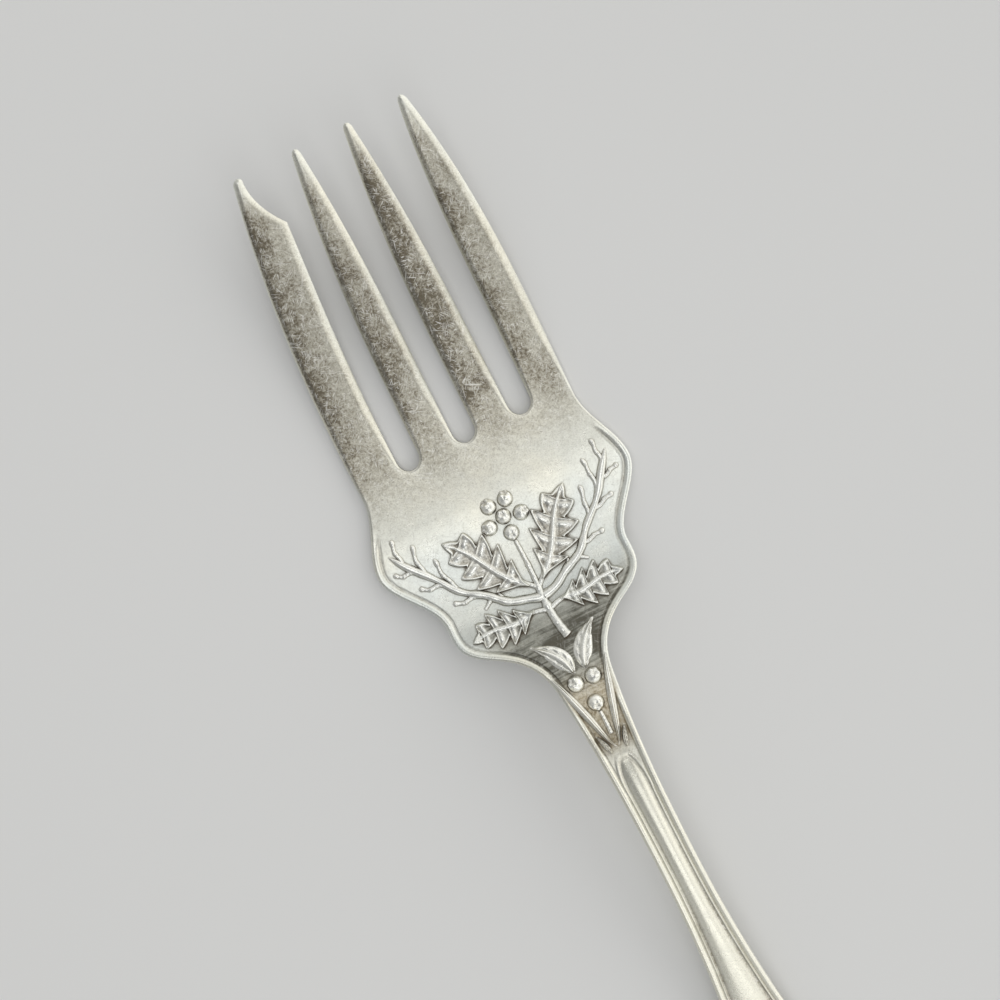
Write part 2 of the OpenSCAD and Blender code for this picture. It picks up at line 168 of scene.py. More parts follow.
def tine_sides(k, s):
    """Left and right edge of a tine; the cutting tine is the first one, and its right edge is notched."""
    centre, root, lean, tip, taper, bow, end_r = tines[k]
    u = max(0.0, s / tine_l)
    middle = centre + lean * u**tine_sweep + bow * math.sin(math.pi * u)
    wide = tip + (root - tip) * (1 - u**taper)
    left, right = middle - wide, middle + wide
    if k == 0 and s > notch_at:
        corner = tine_sides(0, notch_at)[1]
        v = min(1.0, (s - notch_at) / (notch_l - end_r))
        right = left + 2 * end_r + (corner - left - 2 * end_r) * (1 - v) ** notch_curve
    if s > tine_l - end_r:
        end = math.sqrt(max(0.0, end_r**2 - (s - tine_l + end_r) ** 2))
        middle = left + end_r if k == 0 else (left + right) / 2
        left, right = middle - end, middle + end
    return left, right


def on_tine(x, s):
    """Where a point lies across its tine, -1 at the left edge to 1 at the right, and that tine's tarnish."""
    for k, tarnish_and_shade in enumerate(tine_tarnish):
        left, right = tine_sides(k, s)
        if s > 0 and left - edge_slack < x < right + edge_slack:
            return max(-1.0, min(1.0, (2 * x - left - right) / max(right - left, least_w))), tarnish_and_shade
    return 0.0, 1.0


# Columns across the blank: close together at the edges of each tine and round the roots of the slots
tine_columns = (38, 20, 20, 38)
slot_columns = 12
columns = []
for k, count in enumerate(tine_columns):
    columns += [("tine", k, -math.cos(math.pi * c / count)) for c in range(count + 1)]
    if k < len(tines) - 1:
        columns += [("slot", k, -math.cos(math.pi * c / slot_columns)) for c in range(1, slot_columns)]


def spread(a, b, step):
    """Places from a up to b, about one step apart, b left out."""
    count = max(1, round((b - a) / step))
    return [a + (b - a) * i / count for i in range(count)]


# Rows along it: close together round the handle's end, over the struck work and at the tips
end_rows, tip_rows = 26, 9
arch_row, palm_row = -72, -44
handle_step, neck_step, palm_step, tine_step, notch_step = 1.7, 0.5, 0.4, 1.0, 0.3
rows = [end_c - end_round_l * math.cos(math.pi / 2 * i / end_rows) for i in range(end_rows)]
rows += spread(end_c, arch_row, handle_step) + spread(arch_row, palm_row, neck_step)
rows += spread(palm_row, slot_round, palm_step)
slot_row = len(rows)
rows += spread(slot_round, notch_at, tine_step) + spread(notch_at, tip_c, notch_step)
rows += [tip_c + cutting_round * math.sin(math.pi / 2 * i / tip_rows) for i in range(tip_rows + 1)]

sheet = bmesh.new()
edge_gap = sheet.verts.layers.float.new("edge_gap")
tarnish_and_shade_layer = sheet.verts.layers.float.new("tarnish_and_shade")
hollow_layer = sheet.verts.layers.float.new("hollows")
bmesh.ops.create_grid(sheet, x_segments=len(columns) - 1, y_segments=len(rows) - 1, size=0.5)


def grid_place(v):
    """Column and row of a point of the flat grid."""
    return round((v.co.x + 0.5) * (len(columns) - 1)), round((v.co.y + 0.5) * (len(rows) - 1))


open_faces = []
for f in sheet.faces:
    places = [grid_place(v) for v in f.verts]
    if max(j for i, j in places) > slot_row and any(columns[i][0] == "slot" for i, j in places):
        open_faces.append(f)
bmesh.ops.delete(sheet, geom=open_faces, context="FACES")

for v in sheet.verts:
    i, j = grid_place(v)
    kind, k, share = columns[i]
    s = rows[j]
    if kind == "tine":
        left, right = tine_sides(k, max(s, 0.0))
    else:
        left, right = tine_sides(k, max(s, 0.0))[1], tine_sides(k + 1, max(s, 0.0))[0]
        bow = max(0.0, (s + slot_reach) / (slot_round + slot_reach)) ** slot_bow
        s -= slot_round * math.sqrt(1 - share * share) * bow
    x = (left + right) / 2 + share * (right - left) / 2
    v.co = (x * half(min(s, 0.0)) / half(0.0), s, 0.0)
sheet_seam = 0.0005
bmesh.ops.remove_doubles(sheet, verts=sheet.verts[:], dist=sheet_seam)

# How far each point lies inside the outline
outline_step = 0.1
outline = []
for e in sheet.edges:
    if e.is_boundary:
        a, b = (v.co for v in e.verts)
        pieces = max(1, round((b - a).length / outline_step))
        outline += [a.lerp(b, i / pieces) for i in range(pieces)]
tree = KDTree(len(outline))
for i, p in enumerate(outline):
    tree.insert(p, i)
tree.balance()
rim_points = {v for e in sheet.edges if e.is_boundary for v in e.verts}
for v in sheet.verts:
    v[edge_gap] = 0.0 if v in rim_points else tree.find(v.co)[2]

raised = bmesh.ops.extrude_face_region(sheet, geom=sheet.faces[:], use_keep_orig=True)["geom"]
upper = {v for v in raised if isinstance(v, bmesh.types.BMVert)}

# The rim on the palm, and the border, thread, channel and reed on the handle, from the edge inwards
border_w, inner_w, thread_gap, channel_w = 1.25, 0.35, 0.15, 0.45
reed_d = border_w + thread_gap + inner_w + channel_w
reed_h, border_h, rim_h, inner_h = 0.5, 0.35, 0.28, 0.14
rim_flat, rim_fall, border_flat, thread_soft = 0.55, 0.75, 0.5, 0.22
rim_groove_at, rim_groove_w, rim_groove_d = 1.45, 0.3, 0.14
border_groove_d, channel_d, channel_soft = 0.05, 0.10, 0.32
rim_foot, rim_top, border_top = (-50, -42), (-11, -7), (-57, -49)
arch_at, arch_l, arch_fade = -70.0, 7.0, 3


def reed_gap(x, s):
    """How far a point of the handle lies outside the reed, in mm, and half the reed's width there."""
    if s > arch_at:
        a, b, centre = half(s) - reed_d, arch_l, arch_at
    elif s < end_c:
        a, b, centre = end_w / 2 - reed_d, end_round_l - reed_d, end_c
    else:
        wide = half(s) - reed_d
        return abs(x) - wide, wide
    p, q = x / a, (s - centre) / b
    radial = math.hypot(p, q)
    if radial < 1:
        return (radial - 1) * a, a
    return (radial * radial - 1) / (2 * math.hypot(p / a, q / b)), a


def shoulder(q):
    """A rounded edge: 1 up to q = 0, falling to 0 at q = 1."""
    return max(0.0, 1 - max(0.0, q) ** 2)


def struck(x, s, gap):
    """Height that the die raised above the plain face."""
    rim = ramp(*rim_foot, s) * (1 - ramp(*rim_top, s))
    h = rim * rim_h * shoulder((gap - rim_flat) / rim_fall)
    h -= rim * rim_groove_d * bump((gap - rim_groove_at) / rim_groove_w)
    handle = 1 - ramp(*border_top, s)
    if handle > 0:
        h += handle * border_h * shoulder((gap - border_flat) / (border_w - border_flat))
        h -= handle * border_groove_d * bump((gap - border_w - thread_gap / 2) / thread_soft)
        out, wide = reed_gap(x, s)
        arch_top = arch_at + arch_l
        arch = 1 - ramp(arch_top, arch_top + arch_fade, s)
        h += arch * inner_h * bump((out - channel_w - inner_w / 2) / thread_soft)
        h -= arch * channel_d * bump((out - channel_w / 2) / channel_soft)
        if out < 0:
            h += reed_h * shoulder(1 - min(1.0, -out / wide))
    return h


# Tarnish with painted shade and highlight mixed in: how much lies on the plain palm, the tines, the throat
# and the neck, and where it begins and ends
# On the tines the third of these is painted light: shade on the left halves, light on the right halves and a
# highlight along the left edges.
least_tarnish, most_tarnish, left_shade_and_highlight = 0.16, 0.84, 0.35
# The throat's darkness, stronger at its right, is partly tarnish and partly painted shade.
neck_tarnish, throat_tarnish_and_shade, right_tarnish_and_shade = 0.86, 0.95, 0.2
palm_end, tips = (-13, 9), (51, 60)
neck_foot, neck_top = (-63, -59), (-45, -41)
throat_c, throat_l, left_lobe, throat_right = -41.5, 10.5, (-16, -8), (-3, 6)
rub_and_highlight, rub_w, clean_w, bright, bright_w = 0.40, 1.5, 1.1, 0.6, 0.5


def tarnish_and_shade_on(x, s, gap, tine):
    """Tarnish of the plain face with painted shade and highlight mixed in; tine is 0 on the palm and 1 on the
    tines, whose right edges are rubbed and lightened further as a painted highlight.
    """
    lean, dim = on_tine(x, s)
    # Edges are rubbed clean. The tines' right edges get twice as much, as a painted highlight on the side the
    # light falls on.
    rubbed_and_highlit = (rub_and_highlight + rub_and_highlight * lean) * bump(gap / rub_w)
    darkening = least_tarnish + most_tarnish * ramp(*palm_end, s) * (1 - ramp(*tips, s)) * (1 - rubbed_and_highlit)
    # Painted shade and light: each tine's left half is made darker and its right half lighter.
    darkening *= 1 - left_shade_and_highlight * lean * tine + (dim - 1) * tine
    neck = ramp(*neck_foot, s) * (1 - ramp(*neck_top, s))
    # The throat is darkened, more at its right: partly tarnish, partly painted shade.
    throat = bump((s - throat_c) / throat_l) * ramp(*left_lobe, x)
    throat *= throat_tarnish_and_shade + right_tarnish_and_shade * ramp(*throat_right, x)
    darkening += max(neck_tarnish * neck, throat) * (1 - bump(gap / clean_w))
    # Edges are rubbed clean. The tines' left edges get more of it, as a painted highlight along them.
    return darkening * (1 - (bright - left_shade_and_highlight * lean * tine) * bump(gap / bright_w))


# Soft edges: their width and depth, wider and deeper on the tines and widest on a tine's right
soft_w, tine_soft_w, right_soft_w, point_slim = 0.55, 1.05, 0.60, 0.35
soft_d, tine_soft_d, under_soft, tine_crown = 0.28, 0.46, 0.6, 0.18
tine_start, tine_point, crown_end = (-1, 15), (40, 58), (48, 60)
groove_tarnish, groove_d, raised_rub, rubbed_h = 0.3, 0.08, 0.9, (0.05, 0.2)
channel_tarnish, channel_brown, channel_brown_w = 0.4, (-78, -108), 0.75
handle_hollow, hollow_from = 0.3, (-66, -60)
for v in sheet.verts:
    x, s = v.co.x, v.co.y
    gap = v[edge_gap]
    tine = ramp(*tine_start, s)
    lean = on_tine(x, s)[0]
    wide = soft_w + (tine_soft_w + right_soft_w * lean) * tine * (1 - point_slim * ramp(*tine_point, s))
    deep = soft_d + (tine_soft_d * (face(s) - under(s)) - soft_d) * tine
    lost = deep * max(0.0, 1 - gap / wide) ** 2
    z = under(s) + under_soft * lost
    darkening = tarnish_and_shade_on(x, s, gap, tine)
    if v in upper:
        high = struck(x, s, gap)
        z = face(s) - lost - tine_crown * lean * lean * tine * (1 - ramp(*crown_end, s)) + high
        darkening += groove_tarnish * ramp(0.0, groove_d, -high) - raised_rub * darkening * ramp(*rubbed_h, high)
        if s < arch_at:
            in_channel = bump((reed_gap(x, s)[0] - channel_w / 2) / channel_brown_w)
            darkening += channel_tarnish * ramp(*channel_brown, s) * in_channel
    v.co = (x * MM, (s + root_y) * MM, z * MM)
    v[tarnish_and_shade_layer] = darkening
    v[hollow_layer] = handle_hollow + (1 - handle_hollow) * ramp(*hollow_from, s)
bmesh.ops.recalc_face_normals(sheet, faces=sheet.faces[:])


def piece_from(name, shape, material, nodes):
    """Makes a finished bmesh a smooth piece of the fork that stands for some of the solids."""
    mesh = bpy.data.meshes.new(name)
    shape.to_mesh(mesh)
    shape.free()
    mesh.shade_smooth()
    mesh.materials.append(material)
    piece = bpy.data.objects.new(name, mesh)
    scene.collection.objects.link(piece)
    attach(piece, "root")
    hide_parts(*nodes)


class Wire:
    """A shader socket; sums of wires and numbers add their own Math nodes."""

    def __init__(self, tree, socket=None):
        self.tree = tree
        self.socket = socket

    def node(self, kind, settings=None, inputs=None, output=0):
        made = self.tree.nodes.new(kind)
        for name, value in (settings or {}).items():
            setattr(made, name, value)
        for name, value in (inputs or {}).items():
            if isinstance(value, Wire):
                self.tree.links.new(value.socket, made.inputs[name])
            else:
                made.inputs[name].default_value = value
        return Wire(self.tree, made.outputs[output])

    def math(self, operation, a, b=0.0):
        return self.node("ShaderNodeMath", {"operation": operation}, {0: a, 1: b})

    def __add__(self, other):
        return self.math("ADD", self, other)

    __radd__ = __add__

    def __mul__(self, other):
        return self.math("MULTIPLY", self, other)

    __rmul__ = __mul__

    def __sub__(self, other):
        return self.math("SUBTRACT", self, other)

    def __rsub__(self, other):
        return self.math("SUBTRACT", other, self)

    def step(self, low, high):
        """Rises smoothly from 0 at low to 1 at high."""
        settings = {"interpolation_type": "SMOOTHSTEP"}
        return self.node("ShaderNodeMapRange", settings, {"Value": self, "From Min": low, "From Max": high})

    def blend(self, a, b):
        """Colour a where this wire is 0 and colour b where it is 1."""
        settings = {"data_type": "RGBA"}
        return self.node("ShaderNodeMix", settings, {"Factor": self, 6: a, 7: b}, output=2)


tine_brown, old_brown = (0.232, 0.202, 0.148, 1.0), (0.10, 0.086, 0.06, 1.0)
# The throat's grey is partly tarnish and partly painted shade.
throat_grey, neck_brown = (0.160, 0.163, 0.138, 1.0), (0.35, 0.285, 0.18, 1.0)
speck_brown, hollow_brown = (0.16, 0.138, 0.105, 1.0), (0.120, 0.096, 0.066, 1.0)
scratch_silver, rubbed_and_highlight_silver = (0.90, 0.89, 0.84, 1.0), (0.96, 0.95, 0.90, 1.0)
# Each set of scratches: its turn in degrees, fineness, length in widths, and how bare it leaves the face
scratch_sets = (
    (12, 4300, 7, 0.46),
    (52, 4900, 10, 0.46),
    (98, 4600, 7, 0.46),
    (141, 5200, 10, 0.46),
    (33, 5600, 45, 0.51),
    (117, 5200, 45, 0.51),
)
hollow_reach = 0.9 * MM


def worn_silver(name, warm, cool, polish, patina_share):
    """Silver plate with tarnish in clouds, fine scratches every way, dark hollows, rubbed high edges
    lightened further as a painted highlight, a painted blue-grey reflection across the palm and painted shade
    in the throat.
    """
    material = bpy.data.materials.new(name)
    material.use_nodes = True
    nodes = material.node_tree
    wire = Wire(nodes)
    place = wire.node("ShaderNodeTexCoord", output="Object")

    def noise(scale, detail, at=place, rough=0.5):
        inputs = {"Vector": at, "Scale": scale, "Detail": detail, "Roughness": rough}
        return wire.node("ShaderNodeTexNoise", {}, inputs)

    clouds = noise(140, 6, rough=0.68).step(0.36, 0.66)
    mottle = noise(950, 4, rough=0.65).step(0.36, 0.66)
    flecks = noise(2300, 3, rough=0.7).step(0.42, 0.60)
    grain = noise(4200, 2)
    pits = noise(1900, 2).step(0.60, 0.70)
    wiped = wire.node("ShaderNodeMapping", {}, {"Vector": place, "Scale": (130.0, 2300.0, 300.0)})
    streaks = noise(1.0, 2, at=wiped).step(0.36, 0.64)
    share = wire.node("ShaderNodeAttribute", {"attribute_name": "tarnish_and_shade"}, output="Fac")
    far = wire.node("ShaderNodeSeparateXYZ", {}, {"Vector": place}, output="Y")

    def stretch(a, b):
        """Rises from 0 to 1 along the fork, from a to b mm past the slot roots."""
        return far.step((root_y + a) * MM, (root_y + b) * MM)

    # The throat band: streaked grey, partly tarnish and partly painted shade.
    throat = stretch(-22, -34) * stretch(-54, -46)
    neck = stretch(-64, -58) * stretch(-44, -52)
    spots = (0.60 + 0.26 * mottle + 0.30 * flecks) * (1 - throat) + (0.80 + 0.34 * streaks) * throat
    tarnish_and_shade = share * (0.70 + 0.36 * clouds) * spots

    scratches = None
    for turn, fine, slim, bare in scratch_sets:
        turned = {"Vector": place, "Rotation": (0.0, 0.0, math.radians(turn)), "Location": (turn, turn, 0.0)}
        across = wire.node("ShaderNodeMapping", {}, turned)
        stretched = wire.node("ShaderNodeMapping", {}, {"Vector": across, "Scale": (fine, fine / slim, 1.0)})
        mark = noise(1.0, 1, at=stretched).step(0.60, 0.70)
        mark = mark * noise(520, 1, at=across).step(bare, bare + 0.12)
        scratches = mark if scratches is None else wire.math("MAXIMUM", scratches, mark)

    hollow = wire.node("ShaderNodeAmbientOcclusion", {"samples": 12}, {"Distance": hollow_reach}, output="AO")
    dark = wire.node("ShaderNodeAttribute", {"attribute_name": "hollows"}, output="Fac")
    patina = (1 - hollow).step(0.10, 0.52) * dark * patina_share
    edge = wire.node("ShaderNodeNewGeometry", output="Pointiness").step(0.505, 0.56)

    # A painted reflection: a cool blue-grey band across the middle of the palm. The patches, warm and cool at
    # random, are the plate's own tone.
    painted_blue_reflection = stretch(-11, -19) * stretch(-40, -30)
    patches = noise(75, 3).step(0.38, 0.62) * stretch(-75, -45)
    colour = ((0.45 * patches + 0.55 * painted_blue_reflection) * (1 - share)).blend(warm, cool)
    brown = neck.blend(throat.blend(tine_brown, throat_grey), neck_brown)
    colour = tarnish_and_shade.blend(colour, brown)
    # Where tarnish and painted shade run highest, as in the throat, the colour goes to old brown.
    colour = (0.6 * (tarnish_and_shade + 0.2 * share).step(0.9, 1.5)).blend(colour, old_brown)
    open_ground = 1 - 0.75 * wire.math("MAXIMUM", throat, neck)
    specks = 0.34 * pits * share * open_ground + (0.12 + 0.22 * share) * grain.step(0.52, 0.34)
    colour = specks.blend(colour, speck_brown)
    colour = (scratches * (0.16 + 0.42 * share) * open_ground).blend(colour, scratch_silver)
    colour = patina.blend(colour, hollow_brown)
    # Convex edges are rubbed bright, and the same brightening serves as a painted highlight on them.
    colour = (edge * 0.5).blend(colour, rubbed_and_highlight_silver)
    dull = polish + 0.12 * tarnish_and_shade + 0.22 * patina + 0.10 * (noise(300, 3) - 0.5)
    height = 3e-6 * grain - 9e-6 * scratches - 6e-6 * pits + 1.6e-5 * noise(170, 2)
    relief = wire.node("ShaderNodeBump", {}, {"Strength": 1.0, "Distance": 1.0, "Height": height})

    shader = nodes.nodes["Principled BSDF"]
    shader.inputs["Metallic"].default_value = 1.0
    nodes.links.new(colour.socket, shader.inputs["Base Color"])
    nodes.links.new(dull.socket, shader.inputs["Roughness"])
    nodes.links.new(relief.socket, shader.inputs["Normal"])
    return material


plate_warm, plate_cool = (0.86, 0.845, 0.735, 1.0), (0.76, 0.80, 0.77, 1.0)
plate = worn_silver("silver_plate", plate_warm, plate_cool, polish=0.27, patina_share=0.95)
blank_nodes = ["cutting_tine", "second_tine", "third_tine", "outer_tine"]
blank_nodes += ["palm", "neck", "shank", "handle_end"]
blank_nodes += ["left_rim", "right_rim", "left_border", "right_border"]
blank_nodes += ["left_inner_thread", "right_inner_thread", "centre_reed"]
piece_from("fork_blank", sheet, plate, blank_nodes)

# The stalk: the cut stem at the foot of the spray and the thinner stem of the berries above it. The die
# raised it from the blank's own metal as a half-round cord, so it has no seam. Its top is rubbed bright.
raised_warm, raised_cool = (0.95, 0.94, 0.86, 1.0), (0.92, 0.935, 0.89, 1.0)
raised_silver = worn_silver("raised_silver", raised_warm, raised_cool, polish=0.24, patina_share=1.0)
spray_foot, spray_h, spray_reach = 39.4, 27.0, 22.6
stalk_w, stem_foot, stem_tip = 2.0, 0.3, 0.22
sunk, relief_seam = 0.35, 1e-7
crest_clean, clean_h, crest_wear, side_wear = 0.8, (0.12, 0.45), 0.05, 0.5
cord_h, cord_round, cord_ripple, ripples, cord_across = 0.78, 0.7, 0.04, 41, 14
knot_swell, knot_l, bud_at, bud_l = 0.2, 0.06, 0.88, 0.13
blunt_from, blunt_l, blunt_w = 0.92, 0.08, 0.06


def spray(u, v):
    """A place on the palm: u is a share of the spray's reach to the right, v of its height above the foot."""
    return Vector((u * spray_reach, v * spray_h - spray_foot))


def relief_layers(shape):
    """The layers of a relief's points that its material reads: its tarnish and how dark its hollows are."""
    layers = shape.verts.layers.float
    for name in ("tarnish_and_shade", "hollows"):
        if name not in layers:
            layers.new(name)
    return layers["tarnish_and_shade"], layers["hollows"]


def raise_on_face(shape, across, lengths, place):
    """Adds a relief, closed under the face; place(-1 to 1, 0 to 1) gives x, s, height and tarnish."""
    wear, hollows = relief_layers(shape)
    upper = bmesh.ops.create_grid(shape, x_segments=across, y_segments=lengths, size=1.0)["verts"]
    faces = list({f for v in upper for f in v.link_faces})
    made = bmesh.ops.extrude_face_region(shape, geom=faces, use_keep_orig=True)["geom"]
    lower = [v for v in made if isinstance(v, bmesh.types.BMVert)]
    for points, buried in ((upper, False), (lower, True)):
        for v in points:
            x, s, h, v[wear] = place(v.co.x, (v.co.y + 1) / 2)
            v.co = (x * MM, (s + root_y) * MM, (face(s) + (-sunk if buried else h)) * MM)
            v[hollows] = 1 - crest_clean * ramp(*clean_h, h)


def finish_relief(name, shape):
    """Joins the ends of a relief, turns its faces outwards and sets it in for its solid."""
    bmesh.ops.remove_doubles(shape, verts=shape.verts[:], dist=relief_seam)
    bmesh.ops.recalc_face_normals(shape, faces=shape.faces[:])
    piece_from(f"struck_{name}", shape, raised_silver, [name])


def bend(p, c, q, t):
    """A point of the curve from p, pulled towards c, to q."""
    return (1 - t) ** 2 * p + 2 * t * (1 - t) * c + t**2 * q


def half_cord(shape, ends, start_w, end_w, lengths, knots=(), sway=0.0, waves=18, bud=0.0):
    """Raises a half-round cord along a bent line, start_w to end_w in half-width; its end may be a bud."""
    p, c, q = ends

    def place(a, b):
        way = ((1 - b) * (c - p) + b * (q - c)).normalized()
        side = Vector((way.y, -way.x))
        at = bend(p, c, q, b) + sway * math.sin(b * waves) * math.sin(math.pi * b) * side
        wide = start_w + (end_w - start_w) * b
        swollen = sum(knot_swell * bump((b - k) / knot_l) for k in knots)
        wide *= 1 + cord_ripple * math.sin(b * ripples + p.x) + swollen
        wide *= 1 + bud * bump((b - bud_at) / bud_l)
        blunt = math.sqrt(max(0.0, 1 - max(0.0, (b - blunt_from) / blunt_l) ** 2))
        wide *= blunt_w + (1 - blunt_w) * blunt
        v = math.sin(math.pi / 2 * a)
        at += wide * v * side
        high = cord_h * wide * (1 - v * v) ** cord_round
        return at.x, at.y, high, crest_wear + side_wear * v * v

    raise_on_face(shape, cord_across, lengths, place)


shape = bmesh.new()
stalk_ends = (spray(0.04, 0), spray(-0.02, 0.165), spray(0, 0.40))
half_cord(shape, stalk_ends, stalk_w / 2, stalk_w / 3, lengths=60, knots=(0.62, 0.8))
stem_ends = (spray(0, 0.37), spray(0.01, 0.534), spray(0, 0.72))
half_cord(shape, stem_ends, stalk_w * stem_foot, stalk_w * stem_tip, lengths=40, knots=(0.45,))
finish_relief("spray_stem", shape)

# The twigs: two knotty twigs that part from the stalk and run out into the upper lobes of the palm. They are
# struck with the blank, like the stalk, and their shoots end in buds.
twig_w, twig_sway, shoot_sway, shoot_waves = 1.8, 0.3, 0.22, 8
twig_bud, shoot_bud, shoot_knots = 0.3, 0.4, (0.5,)
twig_tip, shoot_foot, shoot_tip, stub_foot, stub_tip = 0.26, 0.28, 0.2, 0.27, 0.17
twig_rows, shoot_rows, stub_rows = 130, 44, 20
hands = (("right", 1), ("left", -1))


def twig(name, mirror):
    """Raises a twig with its shoots; mirror is 1 on the right and -1 on the left."""

    def at(u, v):
        return spray(mirror * u, v)

    # The twig's bent line; then each shoot and stub: its share of the way up, its pull and its tip
    stem = (at(0.01, 0.297), at(0.46, 0.355), at(1, 1))
    shoots = (
        (0.49, (0.588, 0.489), (0.690, 0.515)),
        (0.62, (0.664, 0.711), (0.668, 0.852)),
        (0.70, (0.805, 0.671), (0.889, 0.711)),
        (0.79, (0.819, 0.874), (0.779, 1.007)),
        (0.86, (0.956, 0.830), (1.031, 0.870)),
        (0.92, (0.938, 0.993), (0.916, 1.100)),
    )
    stubs = ((0.30, (0.30, 0.42), (0.318, 0.448)), (0.40, (0.44, 0.40), (0.475, 0.385)))
    knots = [share for share, pull, tip in shoots + stubs]
    shape = bmesh.new()
    half_cord(shape, stem, twig_w / 2, twig_w * twig_tip, twig_rows, knots, twig_sway, bud=twig_bud)
    for share, pull, tip in shoots:
        ends = (bend(*stem, share), at(*pull), at(*tip))
        sizes = (twig_w * shoot_foot, twig_w * shoot_tip, shoot_rows)
        half_cord(shape, ends, *sizes, shoot_knots, shoot_sway, shoot_waves, shoot_bud)
    for share, pull, tip in stubs:
        ends = (bend(*stem, share), at(*pull), at(*tip))
        half_cord(shape, ends, twig_w * stub_foot, twig_w * stub_tip, stub_rows)
    finish_relief(name, shape)


for hand, side in hands:
    twig(f"{hand}_twig", side)

# The leaves: four lobed leaves that the die raised on the palm, in the same metal as the blank. Each has a
# broad midrib, a vein to every lobe and a beaded margin round hollow lobes. The ridges are rubbed bright, and
# dark tarnish lies in the hollows and where the leaf meets the ground.
leaf_lobes, lobe_from, lobe_step, lobe_lean, lobe_rise = 4, 0.08, 0.19, 0.8, 0.05
leaf_round, lobe_round, sinus_w, lobe_w = 0.8, 0.8, 0.42, 0.58
lobe_shares = (0, 0.1, 0.2, 0.3, 0.4, 0.5, 0.6, 0.7, 0.8, 0.88, 0.95, 1)
sinus_shares = (0.12, 0.3, 0.5, 0.7, 0.88)
margin_rounds, leaf_across = 2, 44
upper_turn, upper_leaf_l, upper_half_w = -39, 18.0, 5.1
lower_turn, lower_leaf_l, lower_half_w = -92, 12.9, 3.9
leaf_h, lobe_swell, bead_h, vein_h, rib_h = 0.34, 0.14, 0.22, 0.24, 0.50
bead_in, bead_w, moat_in, moat_w, moat_d = 0.42, 0.40, 1.15, 0.6, 0.14
vein_at, vein_w, rib_w, furrow_in, furrow_w, furrow_d = 0.74, 0.26, 0.95, 1.2, 0.5, 0.10
vein_start, vein_end, rib_taper, lobe_sweep = (0.05, 0.25), (0.7, 0.95), 0.6, 1.3
edge_rise, edge_foot, edge_d = (-0.12, 0.36), (0.0, 0.16), 0.12
leaf_wear, leaf_sway, stalk_reach, leaf_stalk = 0.85, 0.45, 0.16, (0.55, 0.4)


def leaf_margin():
    """Right margin of a leaf of unit size: width, place, place on the midrib, share of the way up a lobe."""

    def lobe_point(i, f):
        u = lobe_from + lobe_step * (i + lobe_lean * f)
        wide = math.sin(math.pi * u) ** leaf_round * (sinus_w + lobe_w * f**lobe_round)
        return wide, u + lobe_rise * f, u, f

    margin = [(0.06, 0.0, 0.0, 0.0), (0.07, 0.03, 0.03, 0.0), (0.12, 0.06, 0.06, 0.0)]
    for i in range(leaf_lobes):
        margin += [lobe_point(i, f) for f in lobe_shares]
        tip = margin[-1]
        sinus = lobe_point(i + 1, 0) if i < leaf_lobes - 1 else (0.26, 0.85, 0.84, 0.0)
        margin += [tuple(p + (q - p) * g for p, q in zip(tip, sinus)) for g in sinus_shares]
    margin += [(0.26, 0.85, 0.84, 0.0), (0.25, 0.88, 0.87, 0.3), (0.22, 0.92, 0.91, 0.7)]
    margin += [(0.15, 0.955, 0.945, 0.7), (0.08, 0.98, 0.975, 0.3), (0.0, 1.0, 1.0, 0.0)]
    for _ in range(margin_rounds):
        inner = [
            tuple((p + 2 * q + r) / 4 for p, q, r in zip(*three))
            for three in zip(margin, margin[1:], margin[2:])
        ]
        margin = [margin[0], *inner, margin[-1]]
    return margin


def lobed_leaf(name, side, base, turn, length, half_w):
    """Raises one leaf on the right, or its mirror image where side is -1, turned from straight up."""
    margin = leaf_margin()
    turned = math.radians(turn)

    def place(a, b):
        wide, reach, spine, lobe = margin[round(b * (len(margin) - 1))]
        v = math.sin(math.pi / 2 * a)
        q = abs(v)
        x = v * wide * half_w
        y = length * (spine + (reach - spine) * q**lobe_sweep)
        inside = (1 - q) * wide * half_w
        young = 1 - rib_taper * spine
        bead = bump((inside - bead_in) / bead_w)
        vein = bump((lobe - vein_at) / vein_w) * ramp(*vein_start, q) * (1 - ramp(*vein_end, q))
        rib = bump(x / (rib_w * young))
        h = leaf_h + lobe_swell * math.sin(math.pi * lobe) * q
        h += bead_h * bead - moat_d * bump((inside - moat_in) / moat_w)
        h += vein_h * vein + rib_h * young * rib - furrow_d * bump((abs(x) - furrow_in * young) / furrow_w)
        h = h * ramp(*edge_rise, inside) - edge_d * (1 - ramp(*edge_foot, inside))
        darkening = leaf_wear - leaf_wear * max(bead, vein, rib)
        x += leaf_sway * math.sin(2 * math.pi * spine)
        return (
            side * (base.x + x * math.cos(turned) - y * math.sin(turned)),
            base.y + x * math.sin(turned) + y * math.cos(turned),
            h,
            darkening,
        )

    shape = bmesh.new()
    raise_on_face(shape, leaf_across, len(margin) - 1, place)
    root = Vector((0, base.y - 1.0))
    inner = base + stalk_reach * length * Vector((-math.sin(turned), math.cos(turned)))
    ends = [Vector((side * p.x, p.y)) for p in (root, base, inner)]
    half_cord(shape, ends, *leaf_stalk, lengths=24)
    finish_relief(name, shape)


for hand, side in hands:
    lobed_leaf(f"upper_{hand}_leaf", side, spray(0.062, 0.40), upper_turn, upper_leaf_l, upper_half_w)
    lobed_leaf(f"lower_{hand}_leaf", side, spray(0.115, 0.236), lower_turn, lower_leaf_l, lower_half_w)

